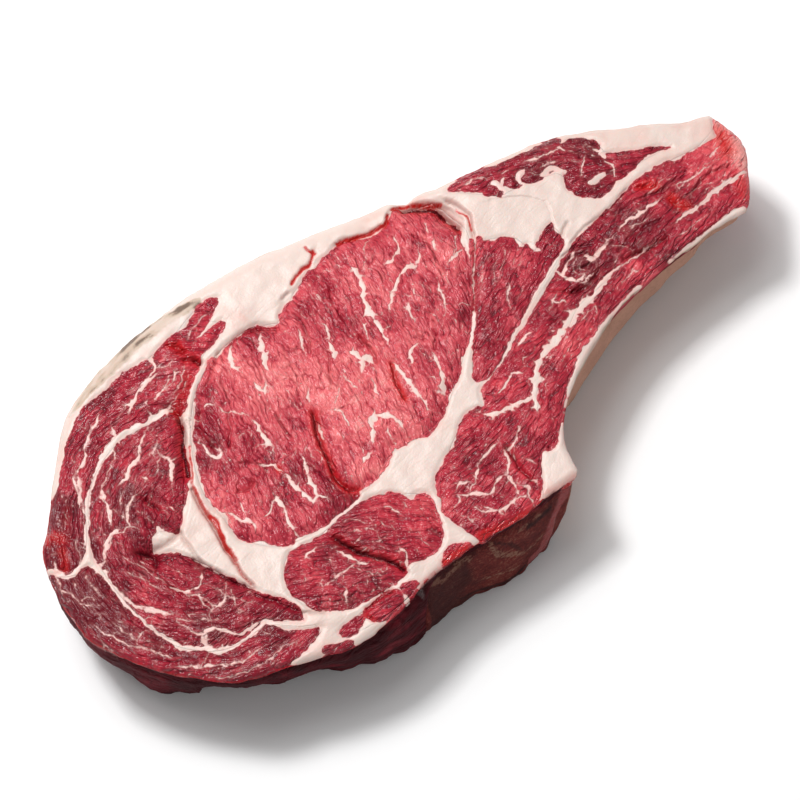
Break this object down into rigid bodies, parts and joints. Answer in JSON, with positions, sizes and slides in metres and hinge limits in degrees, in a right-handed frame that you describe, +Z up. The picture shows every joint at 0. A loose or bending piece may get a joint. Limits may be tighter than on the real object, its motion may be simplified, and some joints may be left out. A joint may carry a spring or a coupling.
{
  "type": "bone-in ribeye steak",
  "caption": "Thick raw steak cut across the ribs: marbled muscles with fat between them, a fat cover and a curved rib along the hollow edge.",
  "frame": {"origin": "middle of the steak's overall length and width, at the lower cut face it lies on", "axes": "+X along the steak's length towards the rib's tip, +Y towards the fat cover and away from the hollow rib side, +Z up through the thickness"},
  "size_m": [0.2834, 0.1374, 0.0431],
  "materials": {
    "eye_meat": "satin",
    "cap_meat": "satin",
    "dark_meat": "satin",
    "fat": "satin",
    "bone": "matte"
  },
  "bodies": {
    "root": {"rib_eye": "eye_meat", "cap_inner": "cap_meat", "cap_upper": "cap_meat", "cap_lower": "cap_meat", "chine_eye": "dark_meat", "rib_wedge": "eye_meat", "rib_meat": "dark_meat", "finger_meat": "dark_meat", "blade_strip": "eye_meat", "chine_strip": "dark_meat", "fat_cover": "fat", "rib_fat": "fat", "rib_bone": "bone"}
  },
  "joints": []
}
